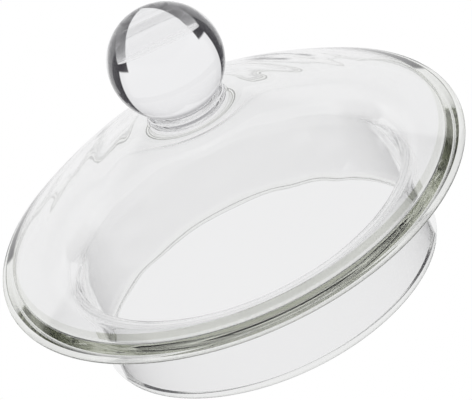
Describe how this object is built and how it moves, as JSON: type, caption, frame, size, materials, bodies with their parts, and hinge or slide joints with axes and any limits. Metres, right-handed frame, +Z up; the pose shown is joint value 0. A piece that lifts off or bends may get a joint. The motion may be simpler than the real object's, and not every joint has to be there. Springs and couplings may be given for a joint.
{
  "type": "glass lid with ball knob",
  "caption": "Clear blown glass lid: shallow conical dome, rolled rim, flared locating skirt open below, and a solid glass ball knob on a ringed neck.",
  "frame": {"origin": "centre of the resting edge at the bottom of the skirt", "axes": "+Z up the lid's axis, from the skirt to the knob; the lid is round, so +X and +Y are any two square directions"},
  "size_m": [0.09, 0.09, 0.0634],
  "materials": {
    "shell_glass": "clear blown glass, faintly wavy, with fine scratches",
    "solid_glass": "clear solid glass, fire polished",
    "edge_glass": "thick fire-polished edge with a faint olive tint"
  },
  "bodies": {
    "root": {"knob_ball": "solid_glass", "knob_collar": "solid_glass", "knob_weld": "solid_glass", "dome": "shell_glass", "rim_bead": "edge_glass", "shoulder": "shell_glass", "skirt": "shell_glass", "skirt_lip": "edge_glass"}
  },
  "joints": []
}
